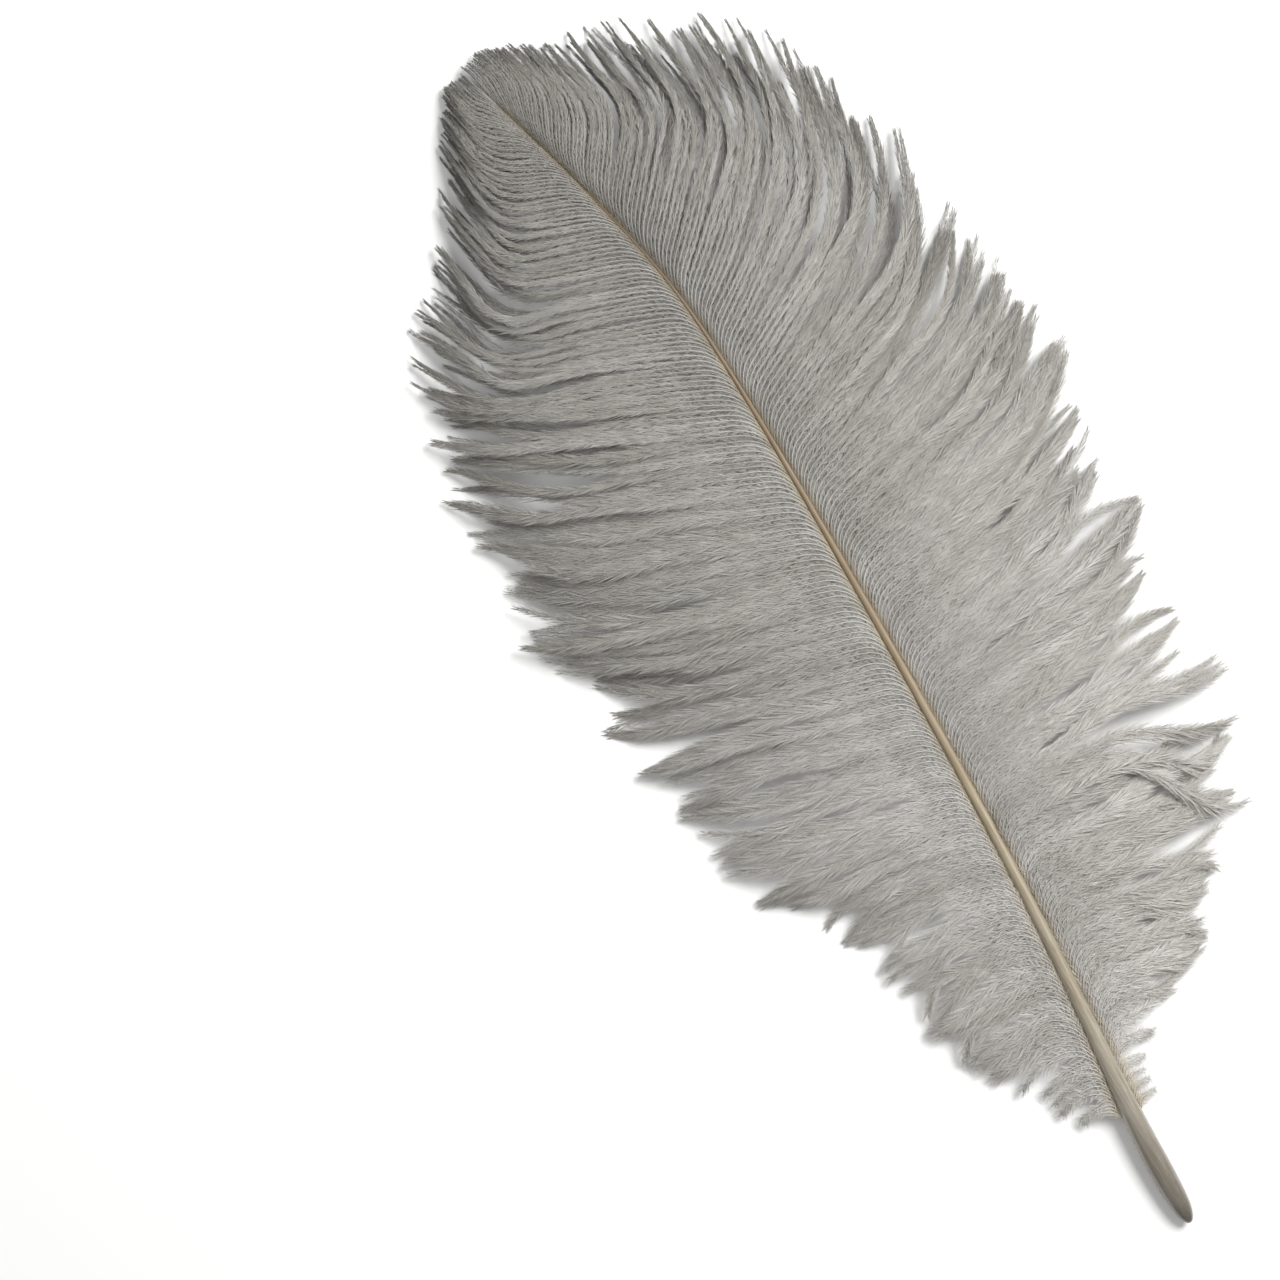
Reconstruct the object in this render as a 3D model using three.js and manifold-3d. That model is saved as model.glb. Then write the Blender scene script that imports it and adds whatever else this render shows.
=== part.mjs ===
// An ostrich plume lying on a table, quill towards -Y and tip towards +Y, in millimetres with +Z up.
// It has three pieces: the horn shaft, and a soft vane of overlapping barb locks along each side of it.
// The origin is on the table, under the middle of the plume's outline.
import * as THREE from "three";
import { mergeVertices } from "three/addons/utils/BufferGeometryUtils.js";
import Module from "manifold-3d";

const wasm = await Module();
wasm.setup();

// Driving dimensions of the shaft. A profile is a list of [distance from the quill's end, value].
const SHAFT_LENGTH = 290;
const SHAFT_SIDES = 10;
const SHAFT_STEPS = 32;
const SHAFT_STEP_EASE = 1.45; // more rings at the rounded quill end
const SHAFT_HEIGHT_RATIO = 0.94; // the shaft is a little lower than it is wide
const SHAFT_BOW = [
  [0, 0], [20, 0.9], [45, 3.4], [70, 5.8], [105, 8],
  [150, 9.8], [207, 11.1], [235, 10], [262, 5.1], [290, -1.7],
];
const SHAFT_LIFT = [
  [0, 2.1], [14, 2.6], [45, 4.4], [100, 8], [160, 10.6], [215, 10.4], [255, 8.6], [290, 5],
];
const SHAFT_RADIUS = [
  [0, 0.5], [1.2, 1.45], [4, 2.25], [13, 2.75], [26, 2.45], [45, 1.85], [80, 1.33],
  [130, 1], [200, 0.62], [245, 0.38], [270, 0.26], [290, 0.15],
];

// Driving dimensions of the vanes. Angles are degrees away from the shaft's own direction.
const LOCKS_PER_VANE = 28;
const LOCK_STEPS = 7;
const LOCK_STEP_EASE = 1.35; // shorter steps where a lock bends out from the shaft
const LOCK_OVERLAP = 1.3; // a lock's width over the spacing between locks
const LOCK_SPLIT = 0.76; // share of a lock's length after which it stands apart from its neighbours
const LOCK_POINT = 0.94; // how far a lock's edges have closed in on its middle at the point
const LOCK_CLOSING = 1.2; // above 1, a lock stays full and then closes fast
const LOCK_CROWN = 1.5; // thickness along a lock's middle
const LOCK_EDGE = 0.75; // thickness along a lock's edges
const LOCK_THINNING = 0.5; // share of the thickness lost by the point
const VANE_GAP = 0.3; // clearance between shaft and vane
const VANE_START = 33;
const VANE_END = 288;
const VANE_TIP_EASE = 0.85; // below 1, locks stand closer together towards the tip
const VANE_CREST = 4.2; // how high a vane arches above its slope to the table
const CREST_FULL_LENGTH = 60; // shorter barbs arch less
const CREST_LEAN = 0.8; // below 1, the arch is highest nearer the shaft
const TABLE_CLEARANCE = 0.5; // height of the lowest lock points' middles above the table
const BARB_ROOT_ANGLE = 22;
const BARB_BEND = [[27, 15], [50, 13], [80, 9.5], [120, 9]]; // distance in which a barb turns to its run
const BARB_STEPS = 48;

// Where along its length a barb's sweep starts and ends, and how late it drops to the table.
const SWEEP_FROM = [
  [33, 0.1], [80, 0.25], [120, 0.42], [170, 0.46], [215, 0.45],
  [232, 0.48], [245, 0.42], [262, 0.3], [288, 0.25],
];
const SWEEP_BY = [[33, 1], [170, 1], [215, 0.85], [245, 0.72], [288, 0.72]];
const DROP_POWER = [[33, 1.5], [215, 1.5], [245, 2.4], [262, 3.6], [288, 3.6]];

// How much locks differ: as a share of length, in degrees of run and sweep, and in height of the point.
const LENGTH_SPREAD = 0.06;
const RUN_SPREAD = 1.5;
const SWEEP_SPREAD = 3.5;
const POINT_SPREAD = 1.2;
const CALM = [[33, 1], [170, 1], [215, 0.4], [290, 0.3]]; // locks differ less towards the tip

const RIGHT_VANE = {
  side: 1,
  length: [
    [27, 5], [33, 6], [38, 10], [43, 22], [47, 30], [60, 39], [68, 45], [76, 50], [90, 58], [104, 58],
    [116, 62], [135, 67], [165, 71], [200, 75], [220, 70], [238, 56], [262, 37], [275, 26], [288, 12],
  ],
  run: [
    [33, 88], [60, 90], [90, 85], [130, 80], [170, 73], [200, 64], [230, 57], [260, 50], [275, 38], [288, 6],
  ],
  sweep: [
    [33, 98], [60, 98], [90, 88], [115, 74], [135, 63], [155, 52], [175, 44], [195, 34], [215, 22],
    [245, 10], [262, 5], [288, 1],
  ],
};
const LEFT_VANE = {
  side: -1,
  length: [
    [27, 9], [33, 14], [50, 28], [75, 36], [100, 52], [140, 68], [190, 78], [206, 77], [218, 68],
    [232, 58], [245, 51], [262, 40], [276, 28.5], [288, 12],
  ],
  run: [
    [33, 92], [60, 90], [90, 80], [130, 77], [170, 70], [200, 64], [230, 60], [260, 54], [275, 40], [288, 5],
  ],
  sweep: [
    [33, 120], [60, 112], [90, 92], [115, 74], [135, 62], [155, 52], [175, 42], [200, 24], [218, 6],
    [235, -6], [250, -10], [270, -10], [288, -1],
  ],
};
// One lock has fallen back towards the quill, over its neighbours, and turns out again at its end.
const STRAY_LOCK = { side: 1, index: 5, turn: 50, lift: 1.2 };

const radians = THREE.MathUtils.degToRad;
const smooth = (x) => THREE.MathUtils.smoothstep(x, 0, 1);

// A profile's value at a distance, along a smooth curve through its points.
function at(profile, distance) {
  const last = profile.length - 1;
  const s = THREE.MathUtils.clamp(distance, profile[0][0], profile[last][0]);
  let i = 0;
  while (i < last - 1 && s > profile[i + 1][0]) i += 1;
  const slope = (j) => {
    const [a, b] = [Math.max(j - 1, 0), Math.min(j + 1, last)];
    return (profile[b][1] - profile[a][1]) / (profile[b][0] - profile[a][0]);
  };
  const [[s0, v0], [s1, v1]] = [profile[i], profile[i + 1]];
  const [span, u] = [s1 - s0, (s - s0) / (s1 - s0)];
  return (
    v0 * (1 + 2 * u) * (1 - u) ** 2 + span * slope(i) * u * (1 - u) ** 2 +
    v1 * u * u * (3 - 2 * u) + span * slope(i + 1) * u * u * (u - 1)
  );
}

// A repeatable number from -1 to 1 for each lock and each use.
function wobble(lock, use) {
  const x = Math.sin(lock * 12.9898 + use * 78.233) * 43758.5453;
  return 2 * (x - Math.floor(x)) - 1;
}

// The shaft's middle line, carried straight on past its tip.
function shaftPoint(s) {
  const inside = Math.min(s, SHAFT_LENGTH);
  const past = s - inside;
  const slope = past > 0 ? at(SHAFT_BOW, SHAFT_LENGTH) - at(SHAFT_BOW, SHAFT_LENGTH - 1) : 0;
  return new THREE.Vector3(at(SHAFT_BOW, inside) + slope * past, s, at(SHAFT_LIFT, inside));
}

// The direction to the shaft's right in plan.
function shaftRight(s) {
  const along = shaftPoint(s + 0.5).sub(shaftPoint(s - 0.5));
  return new THREE.Vector3(along.y, -along.x, 0).normalize();
}

// A closed solid for manifold-3d from a geometry whose faces meet.
function solidOf(geometry) {
  const bare = geometry.clone();
  bare.deleteAttribute("normal");
  bare.deleteAttribute("uv");
  const merged = mergeVertices(bare);
  const vertProperties = merged.attributes.position.array;
  const triVerts = new Uint32Array(merged.index.array);
  return new wasm.Manifold(new wasm.Mesh({ numProp: 3, vertProperties, triVerts }));
}

function geometryOf(solid) {
  const { vertProperties, triVerts } = solid.getMesh();
  const geometry = new THREE.BufferGeometry();
  geometry.setAttribute("position", new THREE.BufferAttribute(vertProperties, 3));
  geometry.setIndex(new THREE.BufferAttribute(triVerts, 1));
  return geometry.toNonIndexed();
}

// Moves every corner of a geometry to the place that a function gives for it.
function reshape(geometry, place) {
  const corners = geometry.attributes.position;
  const corner = new THREE.Vector3();
  for (let i = 0; i < corners.count; i += 1) {
    const { x, y, z } = place(corner.fromBufferAttribute(corners, i));
    corners.setXYZ(i, x, y, z);
  }
  geometry.computeVertexNormals();
  return geometry;
}

// The shaft is a capped cylinder drawn out along the middle line, from a blunt quill to a hair at the tip.
function shaftGeometry() {
  const cylinder = new THREE.CylinderGeometry(1, 1, 1, SHAFT_SIDES, SHAFT_STEPS);
  return reshape(cylinder, (corner) => {
    const s = SHAFT_LENGTH * (corner.y + 0.5) ** SHAFT_STEP_EASE;
    const radius = at(SHAFT_RADIUS, s);
    const place = shaftPoint(s).addScaledVector(shaftRight(s), corner.x * radius);
    place.z += corner.z * radius * SHAFT_HEIGHT_RATIO;
    return place;
  });
}

function lockRoot(lock) {
  return THREE.MathUtils.lerp(VANE_START, VANE_END, (lock / (LOCKS_PER_VANE - 1)) ** VANE_TIP_EASE);
}

// The locks' unevenness at any root, running smoothly from lock to lock.
function uneven(root, use) {
  const locks = Array.from({ length: LOCKS_PER_VANE }, (_, lock) => [lockRoot(lock), wobble(lock, use)]);
  return at(locks, root) * at(CALM, root);
}

// A barb's middle line: it leaves the shaft at a slant, turns outward, then sweeps to its end angle.
// Returns the place at a share of the barb's length.
function barbLine(vane, root, lock) {
  const length = at(vane.length, root) * (1 + LENGTH_SPREAD * uneven(root, vane.side + 2));
  const run = at(vane.run, root) + RUN_SPREAD * uneven(root, vane.side + 5);
  const sweep = at(vane.sweep, root) + SWEEP_SPREAD * uneven(root, vane.side + 8);
  const stray = vane.side === STRAY_LOCK.side && lock === STRAY_LOCK.index ? 1 : 0;
  const rootAngle = Math.min(BARB_ROOT_ANGLE, run);
  const bend = Math.min(at(BARB_BEND, root) / length, 0.5);
  const sweepFrom = Math.max(bend, at(SWEEP_FROM, root));
  const sweepRun = at(SWEEP_BY, root) - sweepFrom;
  const rootHeight = shaftPoint(Math.min(root, SHAFT_LENGTH)).z;
  const lift = STRAY_LOCK.lift * stray;
  const pointHeight = TABLE_CLEARANCE + POINT_SPREAD * (1 + uneven(root, vane.side + 11)) + lift;
  const crest = VANE_CREST * Math.min(1, length / CREST_FULL_LENGTH) + lift;
  const drop = at(DROP_POWER, root);
  const line = [];
  let [forward, outward] = [root, at(SHAFT_RADIUS, root) + VANE_GAP];
  for (let i = 0; i <= BARB_STEPS; i += 1) {
    const t = i / BARB_STEPS;
    const place = shaftPoint(forward).addScaledVector(shaftRight(forward), vane.side * outward);
    place.z = THREE.MathUtils.lerp(rootHeight, pointHeight, t ** drop);
    place.z += crest * Math.sin(Math.PI * t ** CREST_LEAN);
    line.push(place);
    const turned = rootAngle + (run - rootAngle) * smooth(t / bend);
    const fallen = STRAY_LOCK.turn * stray * (smooth((t - 0.4) / 0.25) - smooth((t - 0.75) / 0.25));
    const angle = radians(turned + (sweep - run) * smooth((t - sweepFrom) / sweepRun) + fallen);
    forward += (length / BARB_STEPS) * Math.cos(angle);
    outward += (length / BARB_STEPS) * Math.sin(angle);
  }
  return (t) => {
    const i = Math.min(Math.floor(t * BARB_STEPS), BARB_STEPS - 1);
    return line[i].clone().lerp(line[i + 1], t * BARB_STEPS - i);
  };
}

// One lock is a box bent along a bunch of barbs: wide where it joins its neighbours, closing to a point.
function lockGeometry(vane, lock) {
  const root = lockRoot(lock);
  const halfWidth = ((lockRoot(lock + 1) - root) / 2) * LOCK_OVERLAP;
  const middle = barbLine(vane, root, lock);
  const edges = [barbLine(vane, root - halfWidth, lock), barbLine(vane, root + halfWidth, lock)];
  const box = new THREE.BoxGeometry(1, 1, 1, 2, LOCK_STEPS, 1);
  return reshape(box, (corner) => {
    const t = (corner.y + 0.5) ** LOCK_STEP_EASE;
    const place = middle(t);
    if (corner.x !== 0) {
      const towardsTip = corner.x * vane.side < 0 ? 1 : 0;
      const apart = Math.max(0, (t - LOCK_SPLIT) / (1 - LOCK_SPLIT));
      place.lerp(edges[towardsTip](t), 1 - LOCK_POINT * apart ** LOCK_CLOSING);
    }
    const thickness = (corner.x === 0 ? LOCK_CROWN : LOCK_EDGE) * (1 - LOCK_THINNING * t);
    place.z += corner.z * thickness;
    return place;
  });
}

// A vane is all the locks of one side, fused where they overlap.
function vaneGeometry(vane) {
  const locks = Array.from({ length: LOCKS_PER_VANE }, (_, lock) => solidOf(lockGeometry(vane, lock)));
  return geometryOf(locks.reduce((fused, lock) => fused.add(lock)));
}

const horn = new THREE.MeshStandardMaterial({ color: 0xb39a72, roughness: 0.45, metalness: 0 });
const down = new THREE.MeshStandardMaterial({ color: 0xc4c2bd, roughness: 0.85, metalness: 0 });

function piece(name, geometry, material) {
  const mesh = new THREE.Mesh(geometry, material);
  mesh.name = name;
  return mesh;
}

const plume = new THREE.Group();
plume.add(
  piece("shaft", shaftGeometry(), horn),
  piece("left_vane", vaneGeometry(LEFT_VANE), down),
  piece("right_vane", vaneGeometry(RIGHT_VANE), down),
);

// The plume rests on the table with its outline centred on the origin.
const outline = new THREE.Box3().setFromObject(plume);
const middle = outline.getCenter(new THREE.Vector3());
plume.position.set(-middle.x, -middle.y, -outline.min.z);

const feather = new THREE.Group();
feather.add(plume);

export default feather;
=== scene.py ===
import math
import bpy
import numpy as np
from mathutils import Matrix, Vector


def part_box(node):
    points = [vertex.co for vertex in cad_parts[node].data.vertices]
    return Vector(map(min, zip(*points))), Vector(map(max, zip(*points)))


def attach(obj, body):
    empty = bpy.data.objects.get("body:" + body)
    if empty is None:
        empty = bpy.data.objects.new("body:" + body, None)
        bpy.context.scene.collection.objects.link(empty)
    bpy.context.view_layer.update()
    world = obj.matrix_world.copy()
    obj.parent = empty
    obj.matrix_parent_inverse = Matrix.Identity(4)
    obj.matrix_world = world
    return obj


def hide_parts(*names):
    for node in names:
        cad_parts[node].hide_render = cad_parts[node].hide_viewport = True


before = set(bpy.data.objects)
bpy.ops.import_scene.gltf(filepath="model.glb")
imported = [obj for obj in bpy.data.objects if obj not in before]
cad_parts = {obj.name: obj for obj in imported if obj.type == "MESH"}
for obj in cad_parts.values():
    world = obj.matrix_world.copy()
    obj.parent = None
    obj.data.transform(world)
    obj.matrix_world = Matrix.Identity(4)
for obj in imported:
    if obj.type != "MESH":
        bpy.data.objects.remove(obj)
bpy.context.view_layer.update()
mm = 0.001  # the plume's own sizes are given in millimetres, from the quill's end towards the tip
dice = np.random.default_rng(1530)  # one seed, so every run grows the same plume
print("frame loaded:", ", ".join(sorted(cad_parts)))


# Curves that the shaft and the barbs share

shaftShape = {
    "length": 290,
    "bow": [
        [0, 0], [20, 0.9], [45, 3.4], [70, 5.8], [105, 8],
        [150, 9.8], [207, 11.1], [235, 10], [262, 5.1], [290, -1.7],
    ],
    "lift": [[0, 2.1], [14, 2.6], [45, 4.4], [100, 8], [160, 10.6], [215, 10.4], [255, 8.6], [290, 5]],
    "radius": [
        [0, 0.5], [1.2, 1.45], [4, 2.25], [13, 2.75], [26, 2.45], [45, 1.85], [80, 1.33],
        [130, 1], [200, 0.62], [245, 0.38], [270, 0.26], [290, 0.15],
    ],
    "heightRatio": 0.94,  # a little lower than it is wide
    "sides": 12,
    "rings": 46,
    "ringEase": 1.45,  # more rings at the rounded quill end
    "smoothing": 2,
}


def valueAt(profile, where):  # a smooth curve through a profile's points
    places, values = np.array(profile, float).T
    last = len(places) - 1
    here = np.arange(last + 1)
    before, after = np.maximum(here - 1, 0), np.minimum(here + 1, last)
    slopes = (values[after] - values[before]) / (places[after] - places[before])
    where = np.clip(where, places[0], places[-1])
    i = np.clip(np.searchsorted(places, where) - 1, 0, last - 1)
    span = places[i + 1] - places[i]
    u = (where - places[i]) / span
    start = values[i] * (1 + 2 * u) * (1 - u) ** 2 + span * slopes[i] * u * (1 - u) ** 2
    return start + values[i + 1] * u * u * (3 - 2 * u) + span * slopes[i + 1] * u * u * (u - 1)


def smooth(x):
    x = np.clip(x, 0, 1)
    return x * x * (3 - 2 * x)


def unit(vectors):
    return vectors / np.maximum(np.linalg.norm(vectors, axis=-1, keepdims=True), 1e-12)


def shaftMiddle(s):  # carried straight on past the shaft's tip
    s = np.asarray(s, float)
    end = shaftShape["length"]
    inside = np.minimum(s, end)
    lean = valueAt(shaftShape["bow"], end) - valueAt(shaftShape["bow"], end - 1)
    x = valueAt(shaftShape["bow"], inside) + lean * (s - inside)
    return np.stack([x, s, valueAt(shaftShape["lift"], inside)], axis=-1)


def shaftRight(s):  # the way to the shaft's right, seen from above
    s = np.asarray(s, float)
    ahead = shaftMiddle(s + 0.5) - shaftMiddle(s - 0.5)
    return unit(np.stack([ahead[..., 1], -ahead[..., 0], np.zeros_like(s)], axis=-1))


def findPlumeShift():  # from the plume's own millimetres to the frame, by the middle of the CAD shaft
    low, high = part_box("shaft")
    s = np.linspace(0, shaftShape["length"], 400)
    middle, radius = shaftMiddle(s), valueAt(shaftShape["radius"], s)[:, None]
    reach = radius * np.array([1, 0, shaftShape["heightRatio"]])
    ownMiddle = ((middle - reach).min(0) + (middle + reach).max(0)) / 2
    return np.array((low + high) / 2) - ownMiddle * mm


plumeShift = findPlumeShift()


def inFrame(points):
    return points * mm + plumeShift


# Materials

untinted = (1.0, 1.0, 1.0)
grainLook = {"detail": 4, "roughness": 0.62}


def link(tree, output, socket):
    tree.links.new(output, socket)


def makeGrainGroup():  # fine streaks drawn out along one way, for horn and for down
    tree = bpy.data.node_groups.new("plumeGrain", "ShaderNodeTree")
    tree.interface.new_socket("Vector", in_out="INPUT", socket_type="NodeSocketVector")
    tree.interface.new_socket("Stretch", in_out="INPUT", socket_type="NodeSocketVector")
    tree.interface.new_socket("Fineness", in_out="INPUT", socket_type="NodeSocketFloat")
    tree.interface.new_socket("Streaks", in_out="OUTPUT", socket_type="NodeSocketFloat")
    given = tree.nodes.new("NodeGroupInput")
    result = tree.nodes.new("NodeGroupOutput")
    scaled = tree.nodes.new("ShaderNodeVectorMath")
    scaled.operation = "MULTIPLY"
    noise = tree.nodes.new("ShaderNodeTexNoise")
    noise.inputs["Detail"].default_value = grainLook["detail"]
    noise.inputs["Roughness"].default_value = grainLook["roughness"]
    link(tree, given.outputs["Vector"], scaled.inputs[0])
    link(tree, given.outputs["Stretch"], scaled.inputs[1])
    link(tree, scaled.outputs["Vector"], noise.inputs["Vector"])
    link(tree, given.outputs["Fineness"], noise.inputs["Scale"])
    link(tree, noise.outputs["Fac"], result.inputs["Streaks"])
    return tree


grainGroup = makeGrainGroup()


def newMaterial(name):
    material = bpy.data.materials.new(name)
    material.use_nodes = True
    return material, material.node_tree, material.node_tree.nodes["Principled BSDF"]


def attribute(tree, name):
    node = tree.nodes.new("ShaderNodeAttribute")
    node.attribute_name = name
    return node.outputs["Fac"]


def ramp(tree, factor, stops):
    node = tree.nodes.new("ShaderNodeValToRGB")
    elements = node.color_ramp.elements
    elements[0].position, elements[0].color = stops[0][0], (*stops[0][1], 1)
    elements[1].position, elements[1].color = stops[-1][0], (*stops[-1][1], 1)
    for place, colour in stops[1:-1]:
        elements.new(place).color = (*colour, 1)
    link(tree, factor, node.inputs["Fac"])
    return node.outputs["Color"]


def mapRange(tree, value, low, high, toLow=0.0, toHigh=1.0):
    node = tree.nodes.new("ShaderNodeMapRange")
    node.interpolation_type = "SMOOTHSTEP"
    for name, number in zip(("From Min", "From Max", "To Min", "To Max"), (low, high, toLow, toHigh)):
        node.inputs[name].default_value = number
    link(tree, value, node.inputs["Value"])
    return node.outputs["Result"]


def multiply(tree, first, second):
    node = tree.nodes.new("ShaderNodeMath")
    node.operation = "MULTIPLY"
    link(tree, first, node.inputs[0])
    link(tree, second, node.inputs[1])
    return node.outputs["Value"]


def mix(tree, blend, factor, first, second):
    node = tree.nodes.new("ShaderNodeMix")
    node.data_type = "RGBA"
    node.blend_type = blend
    for socket, given in (("Factor_Float", factor), ("A_Color", first), ("B_Color", second)):
        target = next(i for i in node.inputs if i.identifier == socket)
        if isinstance(given, bpy.types.NodeSocket):
            link(tree, given, target)
        elif isinstance(given, tuple):
            target.default_value = (*given, 1)
        else:
            target.default_value = given
    return next(o for o in node.outputs if o.identifier == "Result_Color")


def grain(tree, vector, stretch, fineness):
    node = tree.nodes.new("ShaderNodeGroup")
    node.node_tree = grainGroup
    node.inputs["Stretch"].default_value = stretch
    node.inputs["Fineness"].default_value = fineness
    link(tree, vector, node.inputs["Vector"])
    return node.outputs["Streaks"]


downFinish = {
    "white": (0.74, 0.72, 0.685),
    "cream": (0.68, 0.59, 0.44),  # the barbs' feet beside the shaft
    "smoke": (0.27, 0.255, 0.225),  # the locks' points
    "shade": (0.19, 0.18, 0.165),  # painted shade: the colour that the down below the barbs and the lower barbs are darkened to
    "along": [  # share of the shaft's length and tint: palest at the quill, greyest at the tip
        (0.10, (0.88, 0.88, 0.88)), (0.28, (0.83, 0.83, 0.83)), (0.42, (0.71, 0.71, 0.71)),
        (0.55, (0.65, 0.65, 0.64)), (0.75, (0.56, 0.56, 0.55)), (1.0, (0.46, 0.455, 0.44)),
    ],
    "feet": (0.5, 4.0),  # millimetres from the shaft over which cream turns to white
    "points": (0.62, 1.02),  # share of a barb over which it turns smoky
    "pointSmoke": 0.8,
    "smokyPlume": (0.45, 0.8),  # share of the plume over which the smoke comes in fully
    "quillSmoke": 0.45,
    "darkTuft": (0.80, 0.79, 0.77),
    "mottleFineness": 160.0,
    "mottleDark": (0.88, 0.87, 0.86),
    "roughness": 0.72,
    "sheen": 0.25,
    "specular": 0.3,
}


def makeDownMaterial():
    material, tree, shader = newMaterial("plumeDown")
    place = tree.nodes.new("ShaderNodeTexCoord").outputs["Object"]
    feet = mapRange(tree, attribute(tree, "fromShaft"), *downFinish["feet"])
    body = mix(tree, "MIX", feet, downFinish["cream"], downFinish["white"])
    points = attribute(tree, "toPoint")
    points = mapRange(tree, points, *downFinish["points"], 0.0, downFinish["pointSmoke"])
    smoky = attribute(tree, "alongPlume")
    smoky = mapRange(tree, smoky, *downFinish["smokyPlume"], downFinish["quillSmoke"], 1.0)
    body = mix(tree, "MIX", multiply(tree, points, smoky), body, downFinish["smoke"])
    # painted shade: the down below the barbs and the lower barbs are darkened towards the shade colour
    body = mix(tree, "MIX", attribute(tree, "paintedShade"), body, downFinish["shade"])
    tint = ramp(tree, attribute(tree, "alongPlume"), downFinish["along"])
    body = mix(tree, "MULTIPLY", 1.0, body, tint)
    tone = mapRange(tree, attribute(tree, "tuftTone"), -1.0, 1.0)
    shades = ramp(tree, tone, [(0.0, downFinish["darkTuft"]), (1.0, untinted)])
    body = mix(tree, "MULTIPLY", 1.0, body, shades)
    mottle = grain(tree, place, (1.0, 1.0, 1.0), downFinish["mottleFineness"])
    spots = ramp(tree, mottle, [(0.35, downFinish["mottleDark"]), (0.65, untinted)])
    body = mix(tree, "MULTIPLY", 1.0, body, spots)
    link(tree, body, shader.inputs["Base Color"])
    shader.inputs["Roughness"].default_value = downFinish["roughness"]
    shader.inputs["Sheen Weight"].default_value = downFinish["sheen"]
    shader.inputs["Specular IOR Level"].default_value = downFinish["specular"]
    return material


hornFinish = {
    "stops": [  # share of the shaft's length and colour, quill first
        (0.0, (0.11, 0.10, 0.085)), (0.02, (0.19, 0.175, 0.15)), (0.06, (0.235, 0.215, 0.18)),
        (0.12, (0.34, 0.31, 0.255)), (0.20, (0.385, 0.35, 0.275)), (0.32, (0.345, 0.295, 0.205)),
        (0.48, (0.285, 0.22, 0.14)), (0.72, (0.20, 0.145, 0.085)), (1.0, (0.17, 0.13, 0.09)),
    ],
    "roughness": (0.24, 0.55),  # at the quill and at the tip
    "coat": (0.9, 0.05),
    "coatRoughness": 0.13,
    "glossFade": (0.16, 0.40),  # share of the shaft over which the quill's gloss is lost
    "streakStretch": (1.0, 0.035, 1.0),
    "streakFineness": 2600.0,
    "streakDark": (0.72, 0.69, 0.65),
    "streakRoughness": (0.85, 1.25),
    "streakBump": 0.25,
    "streakDepth": 0.00012,
    "blotchStretch": (1.0, 0.4, 1.0),
    "blotchFineness": 170.0,
    "blotchDark": (0.84, 0.80, 0.74),
}


def makeHornMaterial():
    material, tree, shader = newMaterial("plumeHorn")
    place = tree.nodes.new("ShaderNodeTexCoord").outputs["Object"]
    split = tree.nodes.new("ShaderNodeSeparateXYZ")
    link(tree, place, split.inputs["Vector"])
    quillEnd = float(plumeShift[1])
    along = tree.nodes.new("ShaderNodeMapRange")
    along.inputs["From Min"].default_value = quillEnd
    along.inputs["From Max"].default_value = quillEnd + shaftShape["length"] * mm
    link(tree, split.outputs["Y"], along.inputs["Value"])
    colour = ramp(tree, along.outputs["Result"], hornFinish["stops"])
    streaks = grain(tree, place, hornFinish["streakStretch"], hornFinish["streakFineness"])
    lines = ramp(tree, streaks, [(0.3, hornFinish["streakDark"]), (0.7, untinted)])
    colour = mix(tree, "MULTIPLY", 1.0, colour, lines)
    blotches = grain(tree, place, hornFinish["blotchStretch"], hornFinish["blotchFineness"])
    patches = ramp(tree, blotches, [(0.35, hornFinish["blotchDark"]), (0.65, untinted)])
    colour = mix(tree, "MULTIPLY", 1.0, colour, patches)
    link(tree, colour, shader.inputs["Base Color"])
    dull = mapRange(tree, along.outputs["Result"], *hornFinish["glossFade"], *hornFinish["roughness"])
    streaky = mapRange(tree, streaks, 0.3, 0.7, *hornFinish["streakRoughness"])
    link(tree, multiply(tree, dull, streaky), shader.inputs["Roughness"])
    coat = mapRange(tree, along.outputs["Result"], *hornFinish["glossFade"], *hornFinish["coat"])
    link(tree, coat, shader.inputs["Coat Weight"])
    shader.inputs["Coat Roughness"].default_value = hornFinish["coatRoughness"]
    bump = tree.nodes.new("ShaderNodeBump")
    bump.inputs["Strength"].default_value = hornFinish["streakBump"]
    bump.inputs["Distance"].default_value = hornFinish["streakDepth"]
    link(tree, streaks, bump.inputs["Height"])
    link(tree, bump.outputs["Normal"], shader.inputs["Normal"])
    return material


# Shaft


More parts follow.
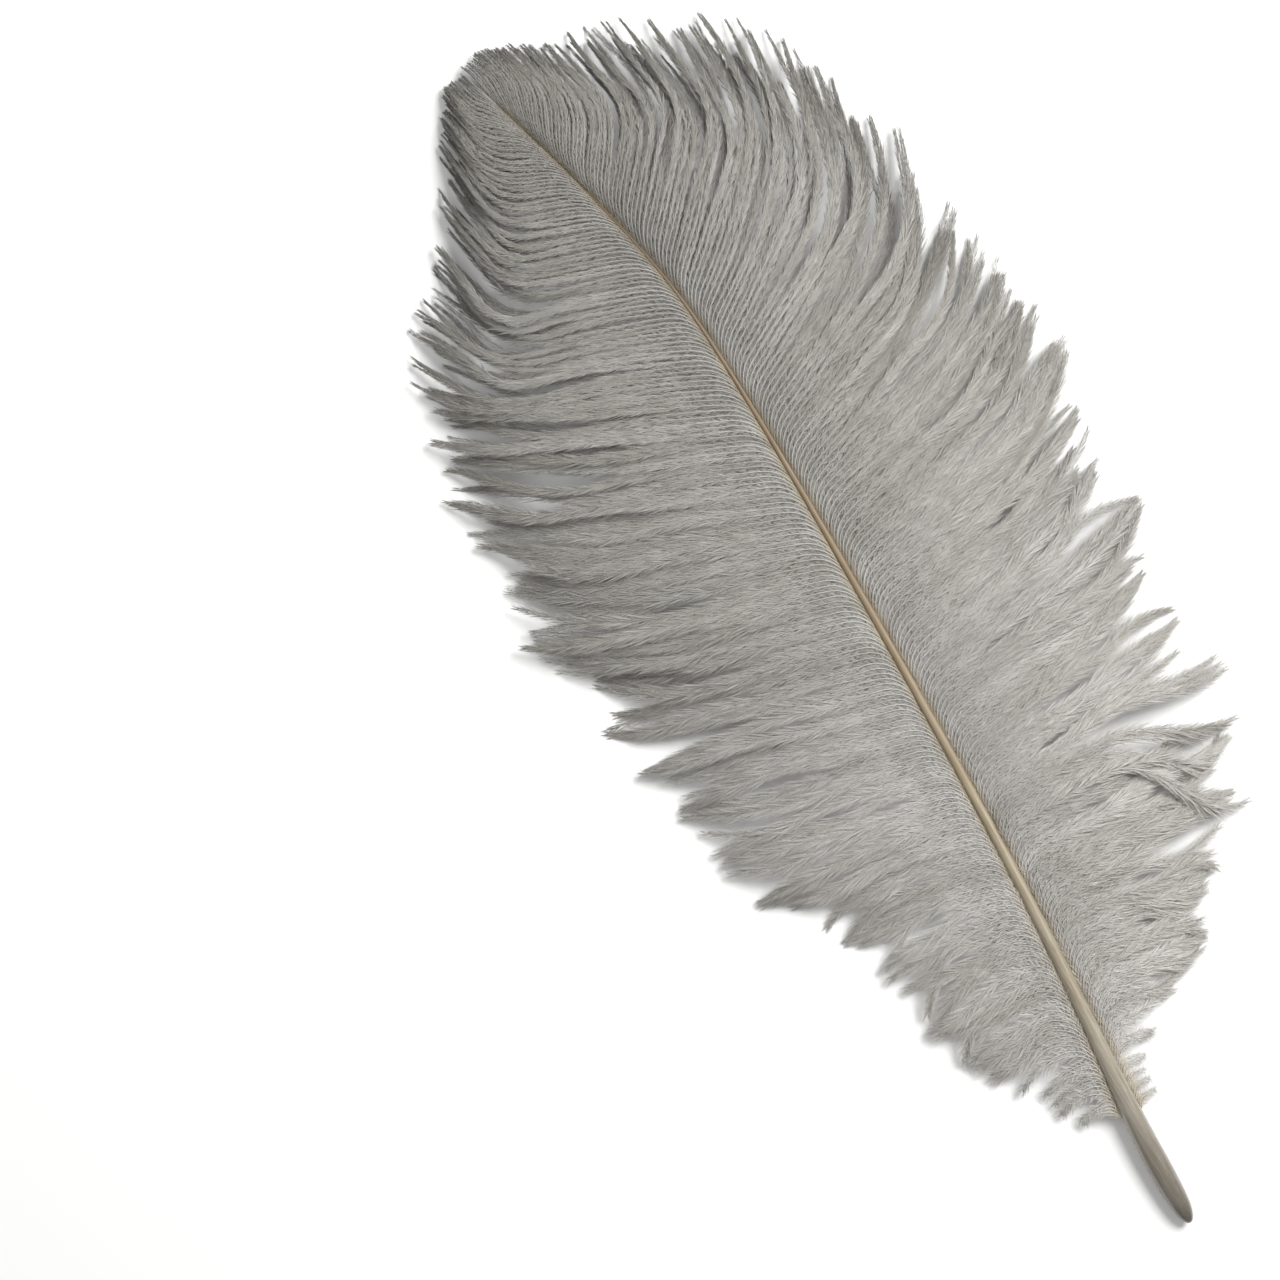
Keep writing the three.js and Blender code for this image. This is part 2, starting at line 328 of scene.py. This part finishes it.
def makeShaft():
    share = np.linspace(0, 1, shaftShape["rings"]) ** shaftShape["ringEase"]
    stations = share * shaftShape["length"]
    places = inFrame(shaftMiddle(stations))
    radii = valueAt(shaftShape["radius"], stations) * mm
    bpy.ops.object.select_all(action="DESELECT")
    bpy.ops.mesh.primitive_circle_add(
        vertices=shaftShape["sides"], radius=radii[0], fill_type="NGON",
        location=places[0], rotation=(math.pi / 2, 0, 0),
    )
    shaft = bpy.context.object
    shaft.name = "hornShaft"
    bpy.ops.object.transform_apply(location=True, rotation=True, scale=True)
    bpy.ops.object.mode_set(mode="EDIT")
    bpy.ops.mesh.select_all(action="SELECT")
    bpy.ops.transform.resize(value=(1, 1, shaftShape["heightRatio"]), center_override=places[0])
    for previous, place, ratio in zip(places, places[1:], radii[1:] / radii[:-1]):
        bpy.ops.mesh.extrude_region_move(TRANSFORM_OT_translate={"value": place - previous})
        bpy.ops.transform.resize(value=(ratio, 1, ratio), center_override=place)
    bpy.ops.mesh.select_all(action="SELECT")
    bpy.ops.mesh.normals_make_consistent(inside=False)
    bpy.ops.object.mode_set(mode="OBJECT")
    rounding = shaft.modifiers.new("rounding", "SUBSURF")
    rounding.levels = rounding.render_levels = shaftShape["smoothing"]
    bpy.ops.object.modifier_apply(modifier=rounding.name)
    bpy.ops.object.shade_smooth()
    shaft.data.materials.append(makeHornMaterial())
    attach(shaft, "root")
    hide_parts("shaft")
    print("shaft:", len(shaft.data.polygons), "faces")


makeShaft()


# Vanes

rightVane = {  # lists run along the shaft, from the quill's end
    "name": "right",
    "side": 1,
    "length": [
        [27, 5], [33, 6], [38, 10], [43, 22], [47, 30], [60, 39], [68, 45], [76, 50], [90, 58], [104, 58],
        [116, 62], [135, 67], [165, 71], [200, 75], [220, 70], [238, 56], [262, 37], [275, 26], [288, 12],
    ],
    "run": [
        [33, 88], [60, 90], [90, 85], [130, 80], [170, 73], [200, 64], [230, 57],
        [260, 50], [275, 38], [288, 6],
    ],
    "sweep": [
        [33, 98], [60, 98], [90, 88], [115, 74], [135, 63], [155, 52], [175, 44], [195, 34], [215, 22],
        [245, 10], [262, 5], [288, 1],
    ],
    "slits": [[99, 0.24, 0.46]],  # root, and the shares of a barb where a slit starts and ends
}
leftVane = {
    "name": "left",
    "side": -1,
    "length": [
        [27, 9], [33, 14], [50, 28], [75, 36], [100, 52], [140, 68], [190, 78], [206, 77], [218, 68],
        [232, 58], [245, 51], [262, 37], [276, 25], [288, 11],
    ],
    "run": [
        [33, 92], [60, 90], [90, 80], [130, 77], [170, 70], [200, 64], [230, 60],
        [260, 54], [275, 40], [288, 5],
    ],
    "sweep": [
        [33, 120], [60, 112], [90, 92], [115, 74], [135, 62], [155, 52], [175, 42], [200, 24], [218, 6],
        [235, -6], [250, -10], [270, -10], [288, -1],
    ],
    "slits": [
        [74, 0.28, 0.60], [104, 0.18, 0.50], [115, 0.32, 0.66], [132, 0.22, 0.50], [141, 0.42, 0.60],
    ],
}
lockShape = {
    "count": 28,
    "start": 33,
    "end": 288,
    "tipEase": 0.85,  # below 1, locks stand closer together towards the tip
    "split": 0.78,  # share of a barb after which the locks part
    "closing": 1.2,
    "pull": [
        [27, 0.0], [38, 0.1], [50, 0.6], [65, 0.8], [140, 0.72], [180, 0.40], [215, 0.10], [290, 0.0],
    ],
    "lengthSpread": 0.06,
    "runSpread": 1.5,
    "sweepSpread": 3.5,
    "calm": [[33, 1.0], [170, 1.0], [215, 0.4], [290, 0.3]],  # less uneven towards the tip
    "pointSpread": 1.2,
}
strayLock = {  # fallen back towards the quill
    "side": 1,
    "start": 88,
    "end": 101,
    "turn": 64,
    "lift": 1.4,
    "backFrom": 0.40,  # share of a barb where it turns back
    "onFrom": 0.75,  # and where it turns on again
    "backRun": 0.25,
}
barbShape = {
    "first": 27,
    "last": 289,
    "spacing": [[27, 0.9], [45, 1.15], [60, 1.25], [240, 1.25], [262, 1.0], [290, 0.7]],
    "below": 0,  # how far the layer lies under the vane's top
    "belowRun": 0.2,
    # the top layer gets no painted shade
    "shade": [[27, 0.0], [290, 0.0]],
    "coverFrom": 255,  # past here the barbs close over the shaft
    "coverRun": 20,
    "coverHeight": 1.4,  # in radii of the shaft
    "rootAngle": 22,
    "bend": [[27, 15], [50, 13], [80, 9.5], [120, 9]],  # distance in which a barb turns to its run
    "bendLimit": 0.5,  # share of a short barb
    "runTurn": 0.4,  # share of a barb's turn that its run takes
    "sweepFrom": [
        [33, 0.1], [80, 0.25], [120, 0.42], [170, 0.46], [215, 0.45], [232, 0.48],
        [245, 0.42], [262, 0.30], [288, 0.25],
    ],
    "sweepBy": [[33, 1.0], [170, 1.0], [215, 0.85], [245, 0.72], [288, 0.72]],
    "steps": 30,
    "stepEase": 1.3,  # shorter steps in the bend
    "crest": 4.2,
    "crestFullLength": 60,
    "crestLean": 0.8,
    "drop": [[33, 1.5], [215, 1.5], [245, 2.4], [262, 3.6], [288, 3.6]],  # late at the tip
    "clearance": 0.5,
    "tableGap": 0.1,
    "width": [[0, 0.46], [9, 0.38], [22, 0.26], [45, 0.18], [80, 0.12]],  # by distance from the shaft
    "strength": [[27, 0.5], [70, 0.5], [110, 0.65], [160, 0.8], [235, 0.7], [262, 0.52], [290, 0.36]],
    "height": 0.7,  # share of the width
    "belly": 0.3,  # share of the height below the line
    "taperEnd": 1.02,
    "taperRun": 0.25,
    "thinnest": 0.06,
    "lengthJitter": 0.025,
    "lengthClip": (-2, 1),
    "turnJitter": 1.2,
    "turnClip": (-2, 2),
    "tone": 0.3,
    "ribTone": 0.1,  # ribs are a little paler than their down
}
lowerShape = {  # barbs below the others, painted in shade, where the tip's strands let one look through
    "first": 130,
    "last": 289,
    "spacing": [[130, 2.4], [160, 2.3], [222, 1.8], [290, 0.9]],
    "below": 1.2,
    # how much painted shade the lower barbs get, by root
    "shade": [[130, 0.1], [200, 0.25], [235, 0.6], [290, 0.6]],
    "barbuleSpacing": 0.36,
}
tuftShape = {  # a few barbs cling together
    "size": [[27, 2.8], [70, 2.4], [120, 2.2], [180, 2.0], [240, 1.7], [290, 1.2]],
    "sizeSpread": 0.9,
    "pull": [[27, 0.6], [150, 0.5], [185, 0.6], [220, 0.75], [265, 0.8], [290, 0.5]],
    "start": [[27, 0.12], [80, 0.25], [150, 0.25], [200, 0.16], [290, 0.10]],
    "run": 0.55,
    "lockPull": (0.35, 1.2),  # how unevenly tufts are drawn to their lock's point
    "fullLength": 50,  # shorter barbs sway and rise less
    "wiggle": [[27, 0.4], [45, 0.9], [60, 1.1], [100, 0.8], [200, 0.8], [250, 0.4], [290, 0.1]],
    "waves": (0.8, 2.0),
    "wiggleFrom": 0.15,
    "wiggleRun": 0.5,
    "rise": [[27, 0.8], [100, 1.0], [180, 1.3], [220, 1.2], [260, 0.5], [290, 0.2]],
    "riseFrom": 0.08,
    "riseRun": 0.4,
    "riseLoss": 0.5,
    "lengthJitter": [[27, 0.06], [240, 0.05], [265, 0.02], [290, 0.01]],
    "lengthClip": (-2.2, 1),
    "turnJitter": [[27, 2.6], [80, 2.4], [120, 1.7], [200, 1.3], [250, 1.2], [290, 0.8]],
    "turnClip": (-2, 2),
    "tone": 0.7,
}
slitShape = {  # dark openings between barbs
    "gap": 0.55,
    "fade": 5.0,
    "lensPower": 1.3,
    "clear": 1.5,
    "clearReach": 1.4,
    "shorten": 0.5,
}
sliverShape = {  # what the barbules and the down below them have in common
    "fewest": 6,
    "placeSpread": (0.1, 0.9),
    "lengthSpread": (0.7, 1.25),
    "widthSpread": (0.7, 1.2),
    "knee": 0.45,  # share of the length where a sliver bends
}
barbuleShape = {
    "spacing": 0.186,
    "length": [[0, 1.2], [6, 1.8], [14, 3.1], [26, 5.2], [80, 6.2]],  # by distance from the shaft
    "fullness": [
        [27, 2.1], [45, 1.6], [70, 1.25], [120, 1.05], [170, 0.9], [205, 0.68], [250, 0.58], [290, 0.5],
    ],
    "pointLength": 0.4,  # share of the length at a barb's very end
    "pointRun": 14,  # distance over which they shorten
    "angle": [[0, 50], [8, 36], [18, 20], [80, 14]],
    "angleJitter": 0.55,
    "openness": [[27, 1.2], [100, 1.0], [170, 0.95], [215, 0.75], [290, 0.7]],
    "elevation": [[0, -26], [12, -20], [28, -10], [80, -8]],
    "elevationJitter": 18,
    "roll": 35,
    "follow": 0.35,  # how far a barbule turns along its barb
    "droop": 0.12,
    "halfWidth": 0.058,
}
underShape = {  # the down that hangs below the barbs, painted in shade
    "spacing": 0.42,
    "length": [[0, 1.2], [10, 2.2], [30, 3.2], [80, 3.2]],
    "fullness": [[27, 1.2], [120, 1.0], [200, 1.0], [290, 0.7]],
    "pointLength": 0.3,
    "pointRun": 20,
    "angle": [[0, 46], [10, 32], [80, 26]],
    "angleJitter": 0.3,
    "openness": [[27, 1.0], [290, 1.0]],
    "elevation": [[0, -58], [80, -48]],
    "elevationJitter": 16,
    "roll": 45,
    "follow": 0.4,
    "droop": 0.1,
    "halfWidth": 0.085,
}
vaneParts = {  # from which root to which root a piece's barbs grow
    "Base": (0, 95),
    "Middle": (95, 150),
    "Upper": (150, 205),
    "Tip": (205, 400),
}
wobbleUse = {"length": 2, "run": 5, "sweep": 8, "point": 11}  # keeps the kinds of unevenness apart


def wobble(lock, use):  # the same unevenness as the CAD locks have
    x = np.sin(lock * 12.9898 + use * 78.233) * 43758.5453
    return 2 * (x - np.floor(x)) - 1


def lockRoots():
    share = (np.arange(lockShape["count"]) / (lockShape["count"] - 1)) ** lockShape["tipEase"]
    return lockShape["start"] + (lockShape["end"] - lockShape["start"]) * share


def uneven(root, use):  # runs smoothly from lock to lock
    locks = np.arange(lockShape["count"])
    profile = np.stack([lockRoots(), wobble(locks, use)], axis=1)
    return valueAt(profile, root) * valueAt(lockShape["calm"], root)


def barbSteps():
    return np.linspace(0, 1, barbShape["steps"] + 1) ** barbShape["stepEase"]


def barbLength(vane, root):
    spread = lockShape["lengthSpread"] * uneven(root, vane["side"] + wobbleUse["length"])
    return valueAt(vane["length"], root) * (1 + spread)


def fallenTurn(vane, root):
    share = (root - strayLock["start"]) / (strayLock["end"] - strayLock["start"])
    inside = (share >= 0) & (share <= 1) & (vane["side"] == strayLock["side"])
    return np.where(inside, 1 - share, 0)


def barbLines(vane, root, stretch=1.0, turn=0.0):  # one line of points for each root
    side = vane["side"]
    length = barbLength(vane, root) * stretch
    runSpread = lockShape["runSpread"] * uneven(root, side + wobbleUse["run"])
    run = valueAt(vane["run"], root) + runSpread + turn * barbShape["runTurn"]
    sweepSpread = lockShape["sweepSpread"] * uneven(root, side + wobbleUse["sweep"])
    sweep = valueAt(vane["sweep"], root) + sweepSpread + turn
    fallen = fallenTurn(vane, root)
    rootAngle = np.minimum(barbShape["rootAngle"], run)
    bend = np.minimum(valueAt(barbShape["bend"], root) / length, barbShape["bendLimit"])
    sweepFrom = np.maximum(bend, valueAt(barbShape["sweepFrom"], root))
    sweepRun = valueAt(barbShape["sweepBy"], root) - sweepFrom
    radius = valueAt(shaftShape["radius"], root)
    over = smooth((root - barbShape["coverFrom"]) / barbShape["coverRun"])
    rootHeight = shaftMiddle(np.minimum(root, shaftShape["length"]))[..., 2]
    rootHeight = rootHeight + barbShape["coverHeight"] * radius * over
    pointSpread = lockShape["pointSpread"] * (1 + uneven(root, side + wobbleUse["point"]))
    pointHeight = barbShape["clearance"] + pointSpread
    pointHeight = pointHeight + strayLock["lift"] * fallen
    crest = barbShape["crest"] * np.minimum(1, length / barbShape["crestFullLength"])
    crest = crest + strayLock["lift"] * fallen
    drop = valueAt(barbShape["drop"], root)
    forward = np.array(root, float)
    outward = radius * (1 - over)
    times = barbSteps()
    lines = np.zeros((len(forward), len(times), 3))
    for i, t in enumerate(times):
        place = shaftMiddle(forward) + shaftRight(forward) * (side * outward)[:, None]
        place[:, 2] = rootHeight + (pointHeight - rootHeight) * t ** drop
        place[:, 2] += crest * math.sin(math.pi * t ** barbShape["crestLean"])
        lines[:, i] = place
        if i < len(times) - 1:
            middle = (t + times[i + 1]) / 2
            turned = rootAngle + (run - rootAngle) * smooth(middle / bend)
            back = smooth((middle - strayLock["backFrom"]) / strayLock["backRun"])
            back = back - smooth((middle - strayLock["onFrom"]) / strayLock["backRun"])
            turned = turned + (sweep - run) * smooth((middle - sweepFrom) / sweepRun)
            angle = np.radians(turned + strayLock["turn"] * fallen * back)
            step = length * (times[i + 1] - t)
            forward = forward + step * np.cos(angle)
            outward = outward + step * np.sin(angle)
    return lines


def gatherTufts(root):  # a tuft's number for each barb
    tufts, number = [], 0
    spread = tuftShape["sizeSpread"]
    while len(tufts) < len(root):
        size = valueAt(tuftShape["size"], root[len(tufts)]) + dice.uniform(-spread, spread)
        tufts += [number] * max(1, int(round(float(size))))
        number += 1
    return np.array(tufts[:len(root)])


def openSlits(vane, root, lines):  # parts the barbs on either side of each slit
    t = barbSteps()[None, :]
    ahead = unit(np.gradient(lines, axis=1))
    forward = -vane["side"] * unit(np.cross(ahead, [0, 0, 1]))
    cover = np.ones(lines.shape[:2])  # how much of their length the barbules keep
    for place, start, end in vane["slits"]:
        lens = np.sin(math.pi * np.clip((t - start) / (end - start), 0, 1)) ** slitShape["lensPower"]
        beside = (root - place)[:, None]
        push = slitShape["gap"] * np.sign(beside) * np.exp(-np.abs(beside) / slitShape["fade"]) * lens
        lines = lines + forward * push[..., None]
        near = np.clip(slitShape["clearReach"] - np.abs(beside) / slitShape["clear"], 0, 1)
        cover = np.minimum(cover, 1 - (1 - slitShape["shorten"]) * near * np.minimum(1, 2 * lens))
    return lines, cover


def barbRoots(layer):
    roots = [float(layer["first"])]
    while roots[-1] < layer["last"]:
        roots.append(roots[-1] + float(valueAt(layer["spacing"], roots[-1])))
    return np.array(roots[:-1])


def growBarbs(vane, layer):
    root = barbRoots(layer)
    count = len(root)
    lock = np.abs(root[:, None] - lockRoots()[None, :]).argmin(1)
    tuft = gatherTufts(root)
    tuftCount = tuft.max() + 1
    tuftRoot = np.bincount(tuft, root) / np.bincount(tuft)
    longer = dice.standard_normal(tuftCount).clip(*tuftShape["lengthClip"])
    tuftStretch = 1 + valueAt(tuftShape["lengthJitter"], tuftRoot) * longer
    aside = dice.standard_normal(tuftCount).clip(*tuftShape["turnClip"])
    tuftTurn = valueAt(tuftShape["turnJitter"], tuftRoot) * aside
    longer = dice.standard_normal(count).clip(*barbShape["lengthClip"])
    stretch = tuftStretch[tuft] * (1 + barbShape["lengthJitter"] * longer)
    aside = dice.standard_normal(count).clip(*barbShape["turnClip"])
    turn = tuftTurn[tuft] + barbShape["turnJitter"] * aside
    own = barbLines(vane, root, stretch, turn)
    together = barbLines(vane, tuftRoot, tuftStretch, tuftTurn)[tuft]
    locked = barbLines(vane, lockRoots())[lock]
    t = barbSteps()[None, :, None]
    start = valueAt(tuftShape["start"], root)[:, None, None]
    cling = valueAt(tuftShape["pull"], root)[:, None, None] * smooth((t - start) / tuftShape["run"])
    lines = own + (together - own) * cling
    apart = np.maximum(0, (t - lockShape["split"]) / (1 - lockShape["split"])) ** lockShape["closing"]
    pull = valueAt(lockShape["pull"], root) * dice.uniform(*tuftShape["lockPull"], tuftCount)[tuft]
    pull = pull * (fallenTurn(vane, root) == 0)
    lines = lines + (locked - lines) * pull[:, None, None] * apart
    lines, cover = openSlits(vane, root, lines)
    across = unit(np.cross(unit(np.gradient(lines, axis=1)), [0, 0, 1]))
    waves = dice.uniform(*tuftShape["waves"], tuftCount)[tuft][:, None, None]
    phase = dice.uniform(0, 1, tuftCount)[tuft][:, None, None]
    size = np.minimum(1, barbLength(vane, root) / tuftShape["fullLength"])[:, None, None]
    sway = valueAt(tuftShape["wiggle"], root)[:, None, None] * np.sin(2 * math.pi * (waves * t + phase))
    begun = smooth((t - tuftShape["wiggleFrom"]) / tuftShape["wiggleRun"])
    lines = lines + across * sway * size * begun
    rise = (valueAt(tuftShape["rise"], tuftRoot) * dice.uniform(-1, 1, tuftCount))[tuft][:, None]
    rise = rise * size[..., 0]
    share = t[..., 0]
    begun = smooth((share - tuftShape["riseFrom"]) / tuftShape["riseRun"])
    lines[..., 2] += rise * begun * (1 - tuftShape["riseLoss"] * share)
    lines[..., 2] -= layer["below"] * smooth(share / barbShape["belowRun"])
    tone = dice.uniform(-1, 1, tuftCount)[tuft] * tuftShape["tone"]
    tone = tone + dice.uniform(-1, 1, count) * barbShape["tone"]
    # how much painted shade the layer's barbs get
    shade = valueAt(layer["shade"], root)
    return {"root": root, "lines": lines, "tone": tone, "cover": cover, "shade": shade}


def frameAlong(ahead):  # up and across for directions along the barbs
    up = unit(np.array([0, 0, 1.0]) - ahead * ahead[..., 2:3])
    return up, np.cross(ahead, up)


def ramusMesh(barbs, chosen):  # a three-sided tapering rib along each barb
    lines = barbs["lines"][chosen]
    ahead = unit(np.gradient(lines, axis=1))
    up, across = frameAlong(ahead)
    lengths = np.linalg.norm(np.diff(lines, axis=1), axis=2).cumsum(1)
    distance = np.concatenate([np.zeros((len(lines), 1)), lengths], axis=1)
    half = valueAt(barbShape["width"], distance)[..., None] / 2
    half = half * valueAt(barbShape["strength"], barbs["root"][chosen])[:, None, None]
    share = barbSteps()[None, :, None]
    taper = (barbShape["taperEnd"] - share) / barbShape["taperRun"]
    half = half * np.clip(taper, barbShape["thinnest"], 1)
    low = -barbShape["belly"] * half * up * barbShape["height"]
    top = up * half * 2 * barbShape["height"]
    corners = np.stack([lines + across * half + low, lines + top, lines - across * half + low], axis=2)
    count, rings = corners.shape[:2]
    index = np.arange(count * rings * 3).reshape(count, rings, 3)
    faces = []
    for a, b in ((0, 1), (1, 2), (2, 0)):
        here, there = index[:, :-1], index[:, 1:]
        faces.append(np.stack([here[..., a], here[..., b], there[..., b]], -1).reshape(-1, 3))
        faces.append(np.stack([here[..., a], there[..., b], there[..., a]], -1).reshape(-1, 3))
    spread = np.ones((1, 1, 3))
    values = {
        "fromShaft": (distance[..., None] * spread).ravel(),
        "toPoint": (share * spread * np.ones((count, 1, 1))).ravel(),
        "alongPlume": np.repeat(barbs["root"][chosen] / shaftShape["length"], rings * 3),
        "tuftTone": np.repeat(barbs["tone"][chosen] + barbShape["ribTone"], rings * 3),
        "paintedShade": np.repeat(barbs["shade"][chosen], rings * 3),
    }
    return corners.reshape(-1, 3), np.concatenate(faces), values


def barbuleMesh(barbs, chosen, shape, paintedShade):  # bent slivers along both sides of each barb
    lines = barbs["lines"][chosen]
    legs = np.linalg.norm(np.diff(lines, axis=1), axis=2)
    total = legs.sum(1)
    each = np.maximum(sliverShape["fewest"], (2 * total / shape["spacing"]).astype(int))
    barb = np.repeat(np.arange(len(lines)), each)
    number = np.arange(len(barb)) - np.repeat(np.cumsum(each) - each, each)
    share = (number + dice.uniform(*sliverShape["placeSpread"], len(barb))) / each[barb]
    distance = share * total[barb]
    ends = legs.cumsum(1)
    leg = np.minimum((distance[:, None] > ends[barb]).sum(1), legs.shape[1] - 1)
    into = (distance - (ends - legs)[barb, leg]) / legs[barb, leg]
    foot = lines[barb, leg] + (lines[barb, leg + 1] - lines[barb, leg]) * into[:, None]
    ahead = unit(lines[barb, leg + 1] - lines[barb, leg])
    up, across = frameAlong(ahead)
    side = np.where(number % 2 == 0, 1.0, -1.0)[:, None]
    root = barbs["root"][chosen][barb]
    left = (total[barb] - distance) / shape["pointRun"]
    length = valueAt(shape["length"], distance) * valueAt(shape["fullness"], root)
    length = length * (shape["pointLength"] + (1 - shape["pointLength"]) * smooth(left))
    length = length * dice.uniform(*sliverShape["lengthSpread"], len(barb))
    length = (length * barbs["cover"][chosen][barb, leg])[:, None]
    angle = valueAt(shape["angle"], distance) * valueAt(shape["openness"], root)
    angle = np.radians(angle * (1 + shape["angleJitter"] * dice.uniform(-1, 1, len(barb))))[:, None]
    tilted = shape["elevationJitter"] * dice.standard_normal(len(barb))
    lean = np.radians(valueAt(shape["elevation"], distance) + tilted)[:, None]
    first = np.cos(angle) * ahead + np.sin(angle) * (np.cos(lean) * side * across + np.sin(lean) * up)
    second = unit(first + shape["follow"] * ahead - [0, 0, shape["droop"]])
    knee = sliverShape["knee"]
    bendPoint = foot + first * length * knee
    tip = bendPoint + second * length * (1 - knee)
    roll = np.radians(shape["roll"] * dice.standard_normal(len(barb)))[:, None]
    flat = unit(np.cross(first, np.cos(roll) * up + np.sin(roll) * across))
    half = shape["halfWidth"] * dice.uniform(*sliverShape["widthSpread"], len(barb))[:, None]
    corners = np.stack([foot, bendPoint + flat * half, bendPoint - flat * half, tip], axis=1)
    start = (np.arange(len(barb)) * 4)[:, None]
    faces = np.concatenate([start + [0, 1, 2], start + [2, 1, 3]])
    reach = np.array([0, knee, knee, 1.0])
    values = {
        "fromShaft": (distance[:, None] + reach * length).ravel(),
        "toPoint": np.repeat(share, 4),
        "alongPlume": np.repeat(root / shaftShape["length"], 4),
        "tuftTone": np.repeat(barbs["tone"][chosen][barb], 4),
        "paintedShade": np.repeat(np.maximum(paintedShade, barbs["shade"][chosen][barb]), 4),
    }
    return corners.reshape(-1, 3), faces, values


def buildMesh(name, parts):
    corners, faces, values, count = [], [], {}, 0
    for partCorners, partFaces, partValues in parts:
        corners.append(partCorners)
        faces.append(partFaces + count)
        count += len(partCorners)
        for key, numbers in partValues.items():
            values.setdefault(key, []).append(numbers)
    corners = inFrame(np.concatenate(corners))
    corners[:, 2] = np.maximum(corners[:, 2], barbShape["tableGap"] * mm)  # nothing goes into the table
    faces = np.concatenate(faces)
    mesh = bpy.data.meshes.new(name)
    mesh.vertices.add(len(corners))
    mesh.vertices.foreach_set("co", corners.astype(np.float32).ravel())
    mesh.loops.add(faces.size)
    mesh.loops.foreach_set("vertex_index", faces.astype(np.int32).ravel())
    mesh.polygons.add(len(faces))
    mesh.polygons.foreach_set("loop_start", np.arange(0, faces.size, 3, dtype=np.int32))
    mesh.polygons.foreach_set("use_smooth", np.ones(len(faces), bool))
    for key, numbers in values.items():
        layer = mesh.attributes.new(key, "FLOAT", "POINT")
        layer.data.foreach_set("value", np.concatenate(numbers).astype(np.float32))
    mesh.update(calc_edges=True)
    mesh.validate()
    piece = bpy.data.objects.new(name, mesh)
    bpy.context.scene.collection.objects.link(piece)
    return piece


def addBarbs(name, node, material, parts):
    piece = buildMesh(name, parts)
    piece.data.materials.append(material)
    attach(piece, "root")
    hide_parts(node)
    print(piece.name + ":", len(piece.data.polygons), "triangles")


def makeVane(vane, node, material):
    barbs = growBarbs(vane, barbShape)
    for part, (start, end) in vaneParts.items():
        chosen = np.nonzero((barbs["root"] >= start) & (barbs["root"] < end))[0]
        addBarbs(vane["name"] + part + "Barbs", node, material, [
            ramusMesh(barbs, chosen),
            barbuleMesh(barbs, chosen, barbuleShape, 0.0),
            # the down below the barbs gets full painted shade
            barbuleMesh(barbs, chosen, underShape, 1.0),
        ])
    lower = growBarbs(vane, lowerShape)
    lowerBarbules = {**barbuleShape, "spacing": lowerShape["barbuleSpacing"]}
    everyOne = np.arange(len(lower["root"]))
    addBarbs(vane["name"] + "LowerBarbs", node, material, [
        ramusMesh(lower, everyOne),
        barbuleMesh(lower, everyOne, lowerBarbules, 0.0),
    ])


down = makeDownMaterial()
makeVane(leftVane, "left_vane", down)
makeVane(rightVane, "right_vane", down)


# Floor, light and camera

stageLook = {
    "floor": (0.86, 0.86, 0.85),
    "floorSize": 6,
    "floorRoughness": 0.9,
    "sky": 0.30,
    "keyPower": 10,
    "keySize": 0.5,
    "keyFrom": (0.55, 0.05, 0.62),
    "fillPower": 3,
    "fillSize": 1.0,
    "fillFrom": (-0.5, 0.3, 0.8),
}


def makeFloor():
    bpy.ops.object.select_all(action="DESELECT")
    bpy.ops.mesh.primitive_plane_add(size=stageLook["floorSize"])
    floor = bpy.context.object
    floor.name = "paleFloor"
    material, tree, shader = newMaterial("paleFloor")
    shader.inputs["Base Color"].default_value = (*stageLook["floor"], 1)
    shader.inputs["Roughness"].default_value = stageLook["floorRoughness"]
    floor.data.materials.append(material)


def makeLight(name, place, power, size):
    lamp = bpy.data.lights.new(name, "AREA")
    lamp.energy = power
    lamp.shape = "DISK"
    lamp.size = size
    light = bpy.data.objects.new(name, lamp)
    light.location = place
    light.rotation_euler = (-Vector(place)).to_track_quat("-Z", "Y").to_euler()
    bpy.context.scene.collection.objects.link(light)


def makeSky():
    world = bpy.data.worlds.new("softSky")
    world.use_nodes = True
    world.node_tree.nodes["Background"].inputs["Color"].default_value = (1, 1, 1, 1)
    world.node_tree.nodes["Background"].inputs["Strength"].default_value = stageLook["sky"]
    bpy.context.scene.world = world
    bpy.context.scene.view_settings.view_transform = "Standard"


cameraView = {
    "azimuth": -31.4,
    "elevation": 86,
    "middle": (-36.2, 171, 5.0),  # what the picture's middle shows, in the plume's millimetres
    "width": 280.7,  # how much the picture takes in, in millimetres
    "lens": 120,
    "clip": (0.01, 20),
}


def makeCamera():
    data = bpy.data.cameras.new("viewFromAbove")
    data.lens = cameraView["lens"]
    azimuth, elevation = math.radians(cameraView["azimuth"]), math.radians(cameraView["elevation"])
    flat = math.cos(elevation)
    back = Vector((math.sin(azimuth) * flat, -math.cos(azimuth) * flat, math.sin(elevation)))
    away = cameraView["width"] * mm * data.lens / data.sensor_width
    camera = bpy.data.objects.new("viewFromAbove", data)
    camera.location = Vector(inFrame(np.array(cameraView["middle"]))) + back * away
    camera.rotation_euler = (-back).to_track_quat("-Z", "Y").to_euler()
    data.clip_start, data.clip_end = cameraView["clip"]
    bpy.context.scene.collection.objects.link(camera)
    bpy.context.scene.camera = camera


makeFloor()
makeLight("windowLight", stageLook["keyFrom"], stageLook["keyPower"], stageLook["keySize"])
makeLight("fillLight", stageLook["fillFrom"], stageLook["fillPower"], stageLook["fillSize"])
makeSky()
makeCamera()
